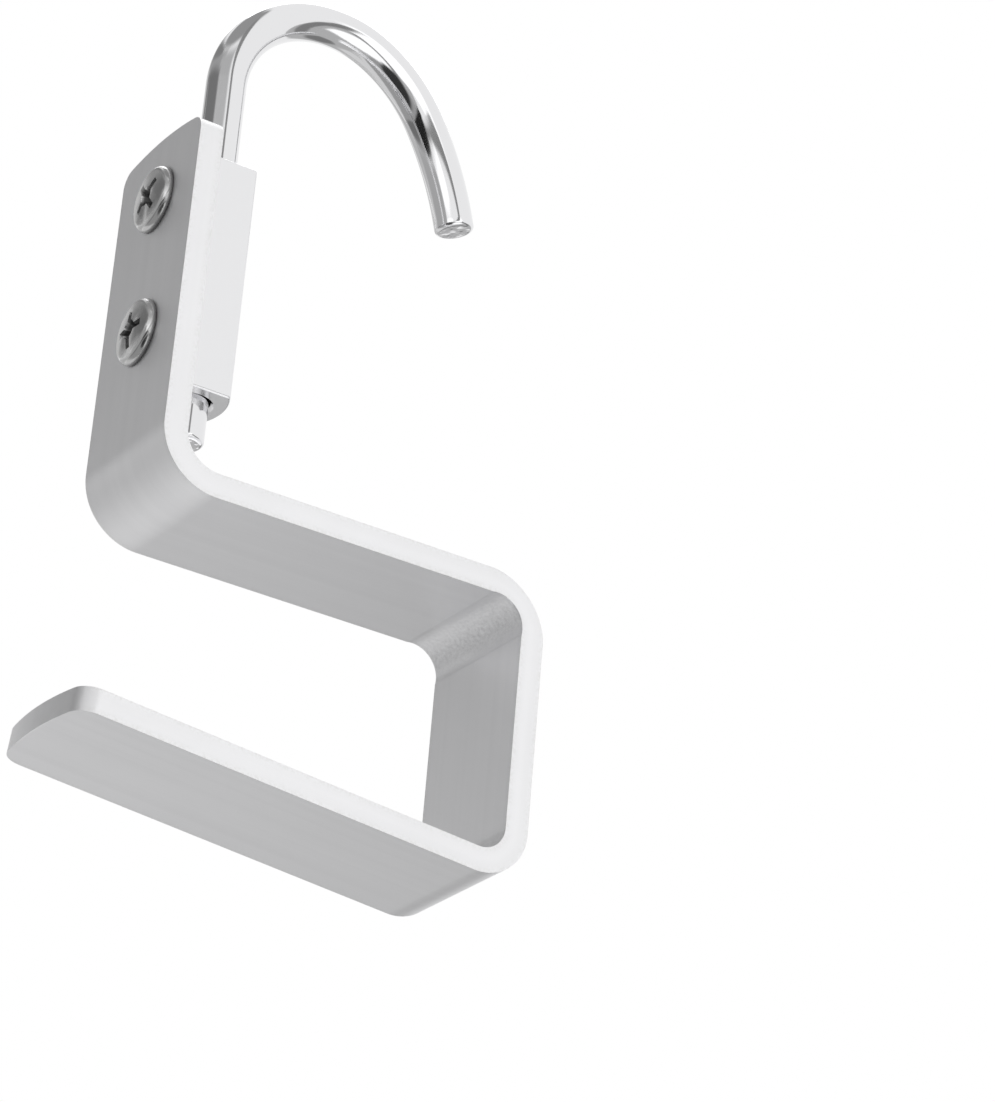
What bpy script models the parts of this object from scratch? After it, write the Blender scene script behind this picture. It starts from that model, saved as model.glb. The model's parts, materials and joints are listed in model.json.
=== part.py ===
"""Purse hook for a closet rail: a bent flat bar that hangs from a round rod hook.

Metres, +Z up. X runs along the arms, Y across the bar. The origin is the point of the rod's
arch that rests on the rail.
"""
import math

import bmesh
import bpy
from mathutils import Vector

# Flat bar
bar_width = 0.025
bar_thickness = 0.0039
bar_edge_round = 0.0003
bar_end_crown_radius = 0.06
upper_end_corner_radius = 0.0028
lower_end_corner_radius = 0.0034

# Bends of the bar, outer sizes and inner radii; the corner bend's outer face is stretched thinner
upper_leg_height = 0.0628
frame_depth = 0.0674
bag_bay_height = 0.0414
lower_arm_reach = 0.076
lower_arm_rise = math.radians(5.5)
upper_bend_radius = 0.006
corner_bend_radius = 0.0046
corner_bend_outer_radius = 0.0106
lower_bend_radius = 0.004

# Round rod, arch radii on its centre line from the shank to the tip
rod_diameter = 0.00635
arch_shank_radius = 0.0179
arch_shank_sweep = math.radians(114.4)
arch_crown_radius = 0.02385
arch_crown_sweep = math.radians(33.0)
arch_tip_radius = 0.0587
arch_tip_sweep = math.radians(18.7)
shank_length = 0.0626
rod_end_round = 0.0007

# Clamp block
block_length = 0.0395
block_width = 0.012
block_side_depth = 0.0094
block_crown_depth = 0.0111
block_edge_round = 0.0006
block_above_middle_arm = 0.0163
bore_from_bar = 0.00535
bore_clearance = 0.0003
bore_mouth_chamfer = 0.0005
rod_below_block = 0.0069

# Clamp screws
screw_diameter = 0.005
screw_head_diameter = 0.0108
screw_head_height = 0.0019
screw_head_dome_radius = 0.02
screw_head_shoulder_radius = 0.0012
screw_tip_chamfer = 0.0006
screw_hole_clearance = 0.0003
screw_tip_gap = 0.0003
upper_screw_below_block_top = 0.0077
lower_screw_above_block_foot = 0.0088
upper_screw_turn = math.radians(40.0)
lower_screw_turn = math.radians(2.0)

# Cross recess in the screw heads
recess_span = 0.007
recess_floor_span = 0.0028
recess_slot_width = 0.0016
recess_floor_slot_width = 0.0009
recess_depth = 0.0021

# Fits
seat_gap = 0.0001
cut_overrun = 0.002

# Facets
bend_steps = 10
end_crown_steps = 7
end_corner_steps = 5
rod_sides = 28
rod_step_angle = math.radians(6.0)
rod_end_steps = 3
bore_sides = 40
screw_sides = 32
head_dome_steps = 4
head_shoulder_steps = 5
block_crown_steps = 12
smooth_angle = math.radians(30.0)

# Places that follow from the sizes
rod_radius = rod_diameter / 2
shank_x = -arch_shank_radius
spring_z = rod_radius - arch_shank_radius
rod_foot_z = spring_z - shank_length
block_foot_z = rod_foot_z + rod_below_block
block_top_z = block_foot_z + block_length
block_back_x = shank_x - bore_from_bar
bar_inner_x = block_back_x - seat_gap
bar_outer_x = bar_inner_x - bar_thickness
middle_arm_top_z = block_foot_z - block_above_middle_arm
bore_radius = rod_radius + bore_clearance
screw_radius = screw_diameter / 2


def clear_scene():
    for old in list(bpy.data.objects):
        bpy.data.objects.remove(old, do_unlink=True)


def make_material(name, colour, roughness, metallic):
    material = bpy.data.materials.new(name)
    material.use_nodes = True
    shader = material.node_tree.nodes["Principled BSDF"]
    shader.inputs["Base Color"].default_value = (*colour, 1)
    shader.inputs["Roughness"].default_value = roughness
    shader.inputs["Metallic"].default_value = metallic
    return material


def add_object(name, bm, material, location=(0, 0, 0), parent=None):
    """Turn a bmesh into a named object with smooth round faces."""
    bmesh.ops.recalc_face_normals(bm, faces=bm.faces)
    mesh = bpy.data.meshes.new(name)
    bm.to_mesh(mesh)
    bm.free()
    mesh.shade_smooth()
    mesh.set_sharp_from_angle(angle=smooth_angle)
    mesh.materials.append(material)
    thing = bpy.data.objects.new(name, mesh)
    thing.location = location
    thing.parent = parent
    bpy.context.scene.collection.objects.link(thing)
    return thing


def cut_with(thing, cutter):
    """Cut a hidden tool shape out of a piece."""
    cutter.hide_render = True
    cutter.display_type = "WIRE"
    boolean = thing.modifiers.new(cutter.name, "BOOLEAN")
    boolean.operation = "DIFFERENCE"
    boolean.solver = "EXACT"
    boolean.object = cutter


def round_edges(thing, width, segments):
    bevel = thing.modifiers.new("edge_round", "BEVEL")
    bevel.width = width
    bevel.segments = segments
    bevel.limit_method = "ANGLE"
    bevel.angle_limit = math.radians(50.0)


def turned_shape(profile, sides):
    """Revolve (radius, height) points, the first and last on the Z axis."""
    bm = bmesh.new()
    start = bm.verts.new((0, 0, profile[0][1]))
    end = bm.verts.new((0, 0, profile[-1][1]))
    rings = []
    for radius, height in profile[1:-1]:
        ring = []
        for side in range(sides):
            turn = math.tau * side / sides
            ring.append(bm.verts.new((radius * math.cos(turn), radius * math.sin(turn), height)))
        rings.append(ring)
    for side in range(sides):
        following = (side + 1) % sides
        bm.faces.new((start, rings[0][following], rings[0][side]))
        bm.faces.new((end, rings[-1][side], rings[-1][following]))
        for low, high in zip(rings, rings[1:]):
            bm.faces.new((low[side], low[following], high[following], high[side]))
    return bm


def end_outline(corner_radius):
    """Half outline of a bar end: (distance from the tip, half width) from the tip inwards."""
    half = bar_width / 2
    reach = bar_end_crown_radius - corner_radius
    corner_across = half - corner_radius
    corner_along = bar_end_crown_radius - math.sqrt(reach ** 2 - corner_across ** 2)
    meet = math.asin(corner_across / reach)
    points = []
    for step in range(end_crown_steps):
        angle = meet * step / end_crown_steps
        points.append((bar_end_crown_radius * (1 - math.cos(angle)),
                       bar_end_crown_radius * math.sin(angle)))
    for step in range(end_corner_steps + 1):
        angle = meet + (math.pi / 2 - meet) * step / end_corner_steps
        points.append((corner_along - corner_radius * math.cos(angle),
                       corner_across + corner_radius * math.sin(angle)))
    return points


def bar_route():
    """Corners of the bar's centre line in X and Z, and the inner and outer radius of each bend."""
    half = bar_thickness / 2
    leg_x = bar_outer_x + half
    right_x = bar_outer_x + frame_depth - half
    arm_z = middle_arm_top_z - half
    # The lower arm's top face meets the right leg's inner face one bay below the middle arm
    bay_foot_z = arm_z - half - bag_bay_height
    along = Vector((-math.cos(lower_arm_rise), math.sin(lower_arm_rise)))
    below_top = half / math.cos(lower_arm_rise)
    foot_z = bay_foot_z - below_top - half * math.tan(lower_arm_rise)
    top = Vector((leg_x, arm_z - half + upper_leg_height))
    bend = Vector((leg_x, arm_z))
    shoulder = Vector((right_x, arm_z))
    heel = Vector((right_x, foot_z))
    reach = lower_arm_reach - half - half * math.sin(lower_arm_rise)
    tip = heel + along * (reach / math.cos(lower_arm_rise))
    radii = [(upper_bend_radius, upper_bend_radius + bar_thickness),
             (corner_bend_radius, corner_bend_outer_radius),
             (lower_bend_radius, lower_bend_radius + bar_thickness)]
    return [top, bend, shoulder, heel, tip], radii


def straight_cut(spot, direction, across):
    """Cross cut square to the bar: (left face's point, right face's point, half width)."""
    normal = Vector((-direction.y, direction.x)) * (bar_thickness / 2)
    return spot + normal, spot - normal, across


def bar_stations():
    """Cross cuts along the bar, from the top to the lower tip."""
    corners, radii = bar_route()
    half = bar_thickness / 2
    down = (corners[1] - corners[0]).normalized()
    stations = [straight_cut(corners[0] + down * distance, down, across)
                for distance, across in end_outline(upper_end_corner_radius)]
    for before, corner, after, (inner, outer) in zip(corners, corners[1:], corners[2:], radii):
        arrive = (corner - before).normalized()
        leave = (after - corner).normalized()
        turn = math.atan2(arrive.x * leave.y - arrive.y * leave.x, arrive.dot(leave))
        side = math.copysign(1, turn)
        inward = Vector((-arrive.y, arrive.x)) * side
        tangent = math.tan(abs(turn) / 2)
        arcs = [(corner + (inward - arrive * tangent) * line_radius, radius)
                for radius, line_radius in ((inner, inner + half), (outer, outer - half))]
        for step in range(bend_steps + 1):
            angle = turn * step / bend_steps
            spin = Vector((arrive.x * math.cos(angle) - arrive.y * math.sin(angle),
                           arrive.x * math.sin(angle) + arrive.y * math.cos(angle)))
            outward = Vector((spin.y, -spin.x)) * side
            spots = [centre + outward * radius for centre, radius in arcs]
            stations.append((*(spots if side > 0 else spots[::-1]), bar_width / 2))
    last = (corners[4] - corners[3]).normalized()
    stations += [straight_cut(corners[4] - last * distance, last, across)
                 for distance, across in reversed(end_outline(lower_end_corner_radius))]
    return stations


def make_strap_frame(material, parent):
    """Bar with rounded ends, swept through its three bends."""
    origin = Vector((bar_outer_x, 0, middle_arm_top_z))
    bm = bmesh.new()
    rows = []
    for left, right, across in bar_stations():
        row = []
        for spot in (left, right):
            sides = (0,) if across == 0 else (-across, across)
            row.append([bm.verts.new(Vector((spot.x, y, spot.y)) - origin) for y in sides])
        rows.append(row)
    for (upper, lower), (next_upper, next_lower) in zip(rows, rows[1:]):
        bm.faces.new(upper + next_upper[::-1])
        bm.faces.new(lower + next_lower[::-1])
        for side in (0, -1):
            bm.faces.new((upper[side], next_upper[side], next_lower[side], lower[side]))
    strap = add_object("strap_frame", bm, material, origin - parent.location, parent)
    round_edges(strap, bar_edge_round, 2)
    return strap


def rounded_end(spot, heading, sign):
    """Rings of a rounded rod end, from its flat end face inwards."""
    along = Vector((math.cos(heading), math.sin(heading))) * sign
    rings = []
    for step in range(rod_end_steps + 1):
        angle = math.pi / 2 * step / rod_end_steps
        inset = rod_end_round * (1 - math.cos(angle))
        radius = rod_radius - rod_end_round * (1 - math.sin(angle))
        rings.append((spot + along * inset, heading, radius))
    return rings


def rod_stations():
    """Rings along the rod: (centre, direction, radius) from the foot to the arch's tip."""
    path = [(Vector((shank_x, rod_foot_z)), math.pi / 2)]
    centre = Vector((shank_x + arch_shank_radius, spring_z))
    bearing = math.pi
    previous = arch_shank_radius
    arcs = ((arch_shank_radius, arch_shank_sweep, 0), (arch_crown_radius, arch_crown_sweep, 1),
            (arch_tip_radius, arch_tip_sweep, 1))
    for radius, sweep, first in arcs:
        centre += Vector((math.cos(bearing), math.sin(bearing))) * (previous - radius)
        steps = math.ceil(sweep / rod_step_angle)
        for step in range(first, steps + 1):
            angle = bearing - sweep * step / steps
            spot = centre + Vector((math.cos(angle), math.sin(angle))) * radius
            path.append((spot, angle - math.pi / 2))
        bearing -= sweep
        previous = radius
    foot = rounded_end(*path[0], 1)
    middle = [(spot, heading, rod_radius) for spot, heading in path[1:-1]]
    tip = rounded_end(*path[-1], -1)
    return foot + middle + tip[::-1]


def make_rod_hook(material):
    """Round rod: straight shank, then an arch that opens out towards its tip."""
    bm = bmesh.new()
    rings = []
    for spot, heading, radius in rod_stations():
        normal = Vector((-math.sin(heading), math.cos(heading)))
        ring = []
        for side in range(rod_sides):
            turn = math.tau * side / rod_sides
            offset = normal * (radius * math.cos(turn))
            place = (spot.x + offset.x, radius * math.sin(turn), spot.y + offset.y)
            ring.append(bm.verts.new(place))
        rings.append(ring)
    for ring, following in zip(rings, rings[1:]):
        for side in range(rod_sides):
            beside = (side + 1) % rod_sides
            bm.faces.new((ring[side], ring[beside], following[beside], following[side]))
    bm.faces.new(rings[0])
    bm.faces.new(rings[-1])
    return add_object("rod_hook", bm, material)


def make_clamp_block(material, parent):
    """Block with a flat back, flat sides and a crowned front, bored from end to end."""
    half = block_width / 2
    rise = block_crown_depth - block_side_depth
    radius = (half ** 2 + rise ** 2) / (2 * rise)
    spread = math.asin(half / radius)
    crown_x = block_crown_depth - bore_from_bar
    section = [(-bore_from_bar, half), (-bore_from_bar, -half)]
    for step in range(block_crown_steps + 1):
        angle = spread * (2 * step / block_crown_steps - 1)
        section.append((crown_x - radius + radius * math.cos(angle), radius * math.sin(angle)))
    bm = bmesh.new()
    foot = bm.faces.new([bm.verts.new((x, y, 0)) for x, y in section])
    grown = bmesh.ops.extrude_face_region(bm, geom=[foot])
    moved = [item for item in grown["geom"] if isinstance(item, bmesh.types.BMVert)]
    bmesh.ops.translate(bm, verts=moved, vec=(0, 0, block_length))
    block = add_object("clamp_block", bm, material, parent=parent)
    round_edges(block, block_edge_round, 2)
    mouth = bore_radius + bore_mouth_chamfer + cut_overrun
    profile = [(0, -cut_overrun), (mouth, -cut_overrun), (bore_radius, bore_mouth_chamfer),
               (bore_radius, block_length - bore_mouth_chamfer),
               (mouth, block_length + cut_overrun), (0, block_length + cut_overrun)]
    bore = add_object("bore_cutter", turned_shape(profile, bore_sides), material, parent=parent)
    cut_with(block, bore)
    return block


def recess_shape():
    """Cross recess that narrows from the head's crown to its floor."""
    bm = bmesh.new()
    floor = screw_head_height - recess_depth
    top = screw_head_height + cut_overrun
    flare = (top - floor) / recess_depth
    loops = []
    levels = ((floor, recess_floor_span, recess_floor_slot_width),
              (top, recess_floor_span + (recess_span - recess_floor_span) * flare,
               recess_floor_slot_width + (recess_slot_width - recess_floor_slot_width) * flare))
    for height, span, slot in levels:
        arm = span / 2
        inner = slot / 2
        loop = []
        for quarter in range(4):
            turn = quarter * math.pi / 2
            for x, y in ((arm, -inner), (arm, inner), (inner, inner)):
                loop.append(bm.verts.new((x * math.cos(turn) - y * math.sin(turn),
                                          x * math.sin(turn) + y * math.cos(turn), height)))
        loops.append(loop)
    low, high = loops
    bm.faces.new(low[::-1])
    bm.faces.new(high)
    for index in range(len(low)):
        following = (index + 1) % len(low)
        bm.faces.new((low[index], low[following], high[following], high[index]))
    return bm


def screw_profile(length):
    """Screw turned about Z: the shank below zero, the head's seat at zero, the dome above."""
    head_radius = screw_head_diameter / 2
    across = head_radius - screw_head_shoulder_radius
    between = screw_head_dome_radius - screw_head_shoulder_radius
    dome_centre = screw_head_height - screw_head_dome_radius
    shoulder_centre = dome_centre + math.sqrt(between ** 2 - across ** 2)
    meet = math.asin(across / between)
    profile = [(0, -length), (screw_radius - screw_tip_chamfer, -length),
               (screw_radius, screw_tip_chamfer - length), (screw_radius, 0), (head_radius, 0)]
    for step in range(head_shoulder_steps):
        angle = math.pi / 2 + (meet - math.pi / 2) * step / head_shoulder_steps
        profile.append((across + screw_head_shoulder_radius * math.sin(angle),
                        shoulder_centre + screw_head_shoulder_radius * math.cos(angle)))
    for step in range(head_dome_steps):
        angle = meet * (1 - step / head_dome_steps)
        profile.append((screw_head_dome_radius * math.sin(angle),
                        dome_centre + screw_head_dome_radius * math.cos(angle)))
    profile.append((0, screw_head_height))
    return profile


def make_clamp_screw(name, turn, height, material, parent):
    """Pan-head screw through the bar and the block's web, its point against the rod."""
    seat_x = bar_outer_x - seat_gap
    length = shank_x - rod_radius - screw_tip_gap - seat_x
    place = Vector((seat_x, 0, height)) - parent.location
    bm = turned_shape(screw_profile(length), screw_sides)
    screw = add_object(name, bm, material, place, parent)
    recess = add_object(name + "_recess_cutter", recess_shape(), material, place, parent)
    for thing in (screw, recess):
        thing.rotation_mode = "ZYX"
        thing.rotation_euler = (0, -math.pi / 2, turn)
    cut_with(screw, recess)
    return screw


def cut_screw_hole(thing, name, height, material, parent):
    """Clearance hole along X through the bar and the block's web."""
    radius = screw_radius + screw_hole_clearance
    start = bar_outer_x - cut_overrun
    length = shank_x - start
    profile = [(0, 0), (radius, 0), (radius, length), (0, length)]
    place = Vector((start, 0, height)) - parent.location
    hole = add_object(name, turned_shape(profile, screw_sides), material, place, parent)
    hole.rotation_euler = (0, math.pi / 2, 0)
    cut_with(thing, hole)


def build():
    clear_scene()
    aluminium = make_material("satin_aluminium", (0.88, 0.88, 0.89), 0.38, 1)
    chrome = make_material("chromed_steel", (0.86, 0.86, 0.87), 0.06, 1)
    cast = make_material("plain_aluminium", (0.82, 0.82, 0.83), 0.42, 1)
    nickel = make_material("nickel_plated_steel", (0.62, 0.61, 0.60), 0.2, 1)

    swivel_axis = bpy.data.objects.new("swivel_axis", None)
    swivel_axis.location = (shank_x, 0, block_foot_z)
    bpy.context.scene.collection.objects.link(swivel_axis)

    make_rod_hook(chrome)
    strap = make_strap_frame(aluminium, swivel_axis)
    block = make_clamp_block(cast, swivel_axis)
    screws = (("upper", upper_screw_turn, block_top_z - upper_screw_below_block_top),
              ("lower", lower_screw_turn, block_foot_z + lower_screw_above_block_foot))
    for place, turn, height in screws:
        for thing in (strap, block):
            name = thing.name + "_" + place + "_hole"
            cut_screw_hole(thing, name, height, nickel, swivel_axis)
        make_clamp_screw("clamp_screw_" + place, turn, height, nickel, swivel_axis)


build()
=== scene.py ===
import json
import math

import bmesh
import bpy
from mathutils import Matrix, Vector


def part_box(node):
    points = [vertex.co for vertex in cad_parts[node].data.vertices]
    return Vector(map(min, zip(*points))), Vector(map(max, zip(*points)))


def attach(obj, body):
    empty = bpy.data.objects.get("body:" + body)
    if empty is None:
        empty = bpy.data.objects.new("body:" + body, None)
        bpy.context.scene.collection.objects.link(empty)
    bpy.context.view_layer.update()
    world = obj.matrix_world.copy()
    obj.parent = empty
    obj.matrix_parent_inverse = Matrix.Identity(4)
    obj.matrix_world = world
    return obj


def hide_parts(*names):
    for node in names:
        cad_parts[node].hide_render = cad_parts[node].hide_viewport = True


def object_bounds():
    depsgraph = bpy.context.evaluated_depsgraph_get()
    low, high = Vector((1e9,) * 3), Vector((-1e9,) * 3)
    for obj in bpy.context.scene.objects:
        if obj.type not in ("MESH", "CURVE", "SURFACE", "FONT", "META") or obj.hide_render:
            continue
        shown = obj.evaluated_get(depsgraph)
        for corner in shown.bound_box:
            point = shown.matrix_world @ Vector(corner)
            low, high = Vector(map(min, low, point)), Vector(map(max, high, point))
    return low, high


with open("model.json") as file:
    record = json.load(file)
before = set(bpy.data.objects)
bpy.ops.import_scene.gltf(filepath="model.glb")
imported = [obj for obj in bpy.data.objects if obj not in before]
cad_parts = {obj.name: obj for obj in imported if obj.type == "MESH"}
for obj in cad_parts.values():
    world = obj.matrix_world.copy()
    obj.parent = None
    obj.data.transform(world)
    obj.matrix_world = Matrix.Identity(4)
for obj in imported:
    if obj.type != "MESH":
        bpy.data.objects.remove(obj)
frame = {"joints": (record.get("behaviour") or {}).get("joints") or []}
cad_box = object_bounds()


# Rod hook
# One round steel rod, cold bent over three radii into an arch that hangs on the rail, then
# polished and chrome plated. Its straight shank turns in the clamp block and comes out below it.
rod_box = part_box("rod_hook")
rod_radius = rod_box[1].y
shank_x = frame["joints"][0]["pos_m"][0]
arch_shank_radius = 0.0179
arch_shank_sweep = math.radians(114.4)
arch_crown_radius = 0.02385
arch_crown_sweep = math.radians(33.0)
arch_tip_radius = 0.0587
arch_tip_sweep = math.radians(18.7)
rod_step_angle = math.radians(1.5)
rod_sides = 72
rod_end_round = 0.0007
rod_end_segments = 6
crisp_angle = math.radians(35.0)
round_angle = math.radians(50.0)

smudge_span = (0.35, 0.7)
chrome_colour = (0.79, 0.79, 0.80, 1)
chrome_roughness = (0.06, 0.11)
chrome_wave_scale = 90.0
chrome_wave_height = 0.00003
chrome_smudge_scale = 45.0
sawn_end_scale = 480.0
sawn_end_height = 0.00022


def add_node(tree, kind, inputs=None, **settings):
    """Put a node in a tree and link or fill its inputs, which are given by name or by number."""
    node = tree.nodes.new(kind)
    for name, value in settings.items():
        setattr(node, name, value)
    shown = [socket for socket in node.inputs if socket.enabled]
    for key, value in (inputs or {}).items():
        socket = shown[key] if isinstance(key, int) else next(s for s in shown if s.name == key)
        if isinstance(value, bpy.types.NodeSocket):
            tree.links.new(value, socket)
        else:
            socket.default_value = value
    return node


def result(node, name=None):
    """A node's output of that name, or the first one that it shows."""
    return next(s for s in node.outputs if s.enabled and name in (None, s.name))


def maths(tree, operation, *values):
    return result(add_node(tree, "ShaderNodeMath", dict(enumerate(values)), operation=operation))


def product(tree, first, *others):
    for other in others:
        first = maths(tree, "MULTIPLY", first, other)
    return first


def noise(tree, place, scale, detail, roughness=0.5):
    """Noise from 0 to 1, whose scale is in waves per metre."""
    return result(add_node(tree, "ShaderNodeTexNoise", {"Vector": place, "Scale": scale,
                           "Detail": detail, "Roughness": roughness}))


def smooth_step(tree, value, low, high):
    """0 below the low value, 1 above the high one, and a soft slope between them."""
    return result(add_node(tree, "ShaderNodeMapRange", {"Value": value, "From Min": low,
                           "From Max": high}, interpolation_type="SMOOTHSTEP"))


def spread_over(tree, mask, low, high):
    """Turn a mask into values between low and high."""
    return result(add_node(tree, "ShaderNodeMapRange",
                           {"Value": mask, "To Min": low, "To Max": high}))


def own_value(tree, name, output):
    """Read a value that is kept on a piece's mesh."""
    return add_node(tree, "ShaderNodeAttribute", attribute_type="GEOMETRY",
                    attribute_name=name).outputs[output]


def new_group(name, kind, inputs, outputs):
    """Node group with named sockets, and the nodes that hold them."""
    tree = bpy.data.node_groups.new(name, kind)
    for label, socket_type in inputs.items():
        tree.interface.new_socket(label, in_out="INPUT", socket_type="NodeSocket" + socket_type)
    for label, socket_type in outputs.items():
        tree.interface.new_socket(label, in_out="OUTPUT", socket_type="NodeSocket" + socket_type)
    return tree, tree.nodes.new("NodeGroupInput").outputs, tree.nodes.new("NodeGroupOutput").inputs


def end_tree(tree, geometry, material, socket):
    """Send out a tree's geometry with no instances left in it, dressed in its material."""
    real = add_node(tree, "GeometryNodeRealizeInstances", {"Geometry": geometry})
    dressed = add_node(tree, "GeometryNodeSetMaterial",
                       {"Geometry": result(real), "Material": material})
    tree.links.new(result(dressed), socket)


def use_tree(thing, tree, values):
    """Geometry Nodes modifier whose inputs are set by their names in the tree."""
    modifier = thing.modifiers.new(tree.name, "NODES")
    modifier.node_group = tree
    for item in tree.interface.items_tree:
        if item.in_out == "INPUT" and item.name in values:
            modifier[item.identifier] = values[item.name]


def line_through(points):
    """Edges through points that are given in X and Z."""
    bm = bmesh.new()
    spots = [bm.verts.new((x, 0, z)) for x, z in points]
    for start, end in zip(spots, spots[1:]):
        bm.edges.new((start, end))
    return bm


def round_edges(thing, width, segments):
    bevel = thing.modifiers.new("edge_round", "BEVEL")
    bevel.width = width
    bevel.segments = segments
    bevel.limit_method = "ANGLE"
    bevel.angle_limit = round_angle


def new_piece(name, bm, material=None):
    mesh = bpy.data.meshes.new(name)
    bm.to_mesh(mesh)
    bm.free()
    if material:
        mesh.materials.append(material)
    thing = bpy.data.objects.new(name, mesh)
    bpy.context.scene.collection.objects.link(thing)
    return thing


def make_plain(thing):
    """Replace a piece's modifiers by the mesh that they make."""
    graph = bpy.context.evaluated_depsgraph_get()
    mesh = bpy.data.meshes.new_from_object(thing.evaluated_get(graph), depsgraph=graph)
    thing.modifiers.clear()
    thing.data = mesh


def finish_piece(thing, body, node):
    """Plain mesh with level flats, smooth rounds and crisp corners, in place of its CAD node."""
    make_plain(thing)
    thing.data.shade_smooth()
    thing.data.set_sharp_from_angle(angle=crisp_angle)
    weighted = thing.modifiers.new("level_flats", "WEIGHTED_NORMAL")
    weighted.keep_sharp = True
    make_plain(thing)
    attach(thing, body)
    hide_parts(node)


def build_smudge_group():
    """Soft smudges that handled metal has all over."""
    tree, given, made = new_group("handled_smudges", "ShaderNodeTree",
                                  {"Vector": "Vector", "Smudge Scale": "Float"},
                                  {"Smudges": "Float"})
    cloud = noise(tree, given["Vector"], given["Smudge Scale"], detail=4.0, roughness=0.6)
    tree.links.new(smooth_step(tree, cloud, *smudge_span), made["Smudges"])
    return tree


handled_smudges = build_smudge_group()


def add_smudges(tree, place, scale):
    return result(add_node(tree, "ShaderNodeGroup", {"Vector": place, "Smudge Scale": scale},
                           node_tree=handled_smudges))


def new_metal(name, colour):
    """Material with a plain metallic shader, and its tree."""
    material = bpy.data.materials.new(name)
    material.use_nodes = True
    shader = material.node_tree.nodes["Principled BSDF"]
    shader.inputs["Base Color"].default_value = colour
    shader.inputs["Metallic"].default_value = 1
    return material, material.node_tree, shader


def add_bump(tree, shader, distance, height):
    """Relief on a shader, whose height is a share of the distance."""
    bump = add_node(tree, "ShaderNodeBump",
                    {"Strength": 1.0, "Distance": distance, "Height": height})
    tree.links.new(result(bump), shader.inputs["Normal"])


def make_chrome():
    material, tree, shader = new_metal("polished_chrome", chrome_colour)
    place = result(add_node(tree, "ShaderNodeTexCoord"), "Object")
    smudges = add_smudges(tree, place, chrome_smudge_scale)
    tree.links.new(spread_over(tree, smudges, *chrome_roughness), shader.inputs["Roughness"])
    wave = noise(tree, place, chrome_wave_scale, detail=1.0)
    sawn = product(tree, noise(tree, place, sawn_end_scale, detail=2.0),
                   own_value(tree, "sawn_end", "Fac"), sawn_end_height / chrome_wave_height)
    add_bump(tree, shader, chrome_wave_height, maths(tree, "ADD", wave, sawn))
    return material


def build_rod_tree():
    """Round rod along a centre line of edges."""
    tree, given, made = new_group("round_rod", "GeometryNodeTree", {"Centre Line": "Geometry",
                                  "Rod Radius": "Float", "Sides": "Int", "Material": "Material"},
                                  {"Rod": "Geometry"})
    line = add_node(tree, "GeometryNodeMeshToCurve", {"Mesh": given["Centre Line"]})
    section = add_node(tree, "GeometryNodeCurvePrimitiveCircle",
                       {"Resolution": given["Sides"], "Radius": given["Rod Radius"]})
    rod = add_node(tree, "GeometryNodeCurveToMesh", {"Curve": result(line),
                   "Profile Curve": result(section), "Fill Caps": True})
    end_tree(tree, result(rod), given["Material"], made["Rod"])
    return tree


def rod_centre_line():
    """Points in X and Z up the shank and over the arch to the tip."""
    spring_z = rod_radius - arch_shank_radius
    points = [Vector((shank_x, rod_box[0].z))]
    centre = Vector((shank_x + arch_shank_radius, spring_z))
    bearing = math.pi
    previous = arch_shank_radius
    arcs = ((arch_shank_radius, arch_shank_sweep), (arch_crown_radius, arch_crown_sweep),
            (arch_tip_radius, arch_tip_sweep))
    for radius, sweep in arcs:
        centre += Vector((math.cos(bearing), math.sin(bearing))) * (previous - radius)
        steps = math.ceil(sweep / rod_step_angle)
        # The first arc adds its start, and the others start at the end of the one before.
        first = 0 if len(points) == 1 else 1
        for step in range(first, steps + 1):
            angle = bearing - sweep * step / steps
            points.append(centre + Vector((math.cos(angle), math.sin(angle))) * radius)
        bearing -= sweep
        previous = radius
    return points


def make_rod():
    chrome = make_chrome()
    rod = new_piece("chromed_rod_hook", line_through(rod_centre_line()), chrome)
    use_tree(rod, build_rod_tree(),
             {"Rod Radius": rod_radius, "Sides": rod_sides, "Material": chrome})
    round_edges(rod, rod_end_round, rod_end_segments)
    finish_piece(rod, "rod", "rod_hook")
    # Only the two sawn ends are faces with a corner for each side of the rod.
    ends = rod.data.attributes.new("sawn_end", "FLOAT", "FACE")
    for face in rod.data.polygons:
        ends.data[face.index].value = float(len(face.vertices) == rod_sides)


make_rod()


# Clamp block
# A short piece of extruded aluminium with a flat back, flat sides and a crowned front. It is sawn
# to length, deburred, bored for the rod and tapped for the two screws that pull it to the bar.
block_low, block_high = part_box("clamp_block")
block_half_width = block_high.y
block_side_depth = 0.0094
block_edge_round = 0.0006
block_edge_segments = 4
block_crown_steps = 40
bore_clearance = 0.0003
bore_radius = rod_radius + bore_clearance
bore_mouth_chamfer = 0.0005
bore_sides = 96
cut_overrun = 0.002
screw_radius = 0.0025
screw_hole_clearance = 0.0003
screw_hole_radius = screw_radius + screw_hole_clearance
upper_screw_below_block_top = 0.0077
lower_screw_above_block_foot = 0.0088
screw_heights = {"upper": block_high.z - upper_screw_below_block_top,
                 "lower": block_low.z + lower_screw_above_block_foot}
screw_hole_sides = 64

block_colour = (0.80, 0.80, 0.81, 1)
block_roughness = (0.16, 0.24)
block_smudge_scale = 120.0
block_smudge_share = 0.6
block_grain_lines = 2600.0
block_grain_height = 0.000012
grain_along_share = 0.012
broad_lines_share = 0.17


def vector_maths(tree, operation, *values):
    return result(add_node(tree, "ShaderNodeVectorMath", dict(enumerate(values)),
                           operation=operation))


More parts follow.
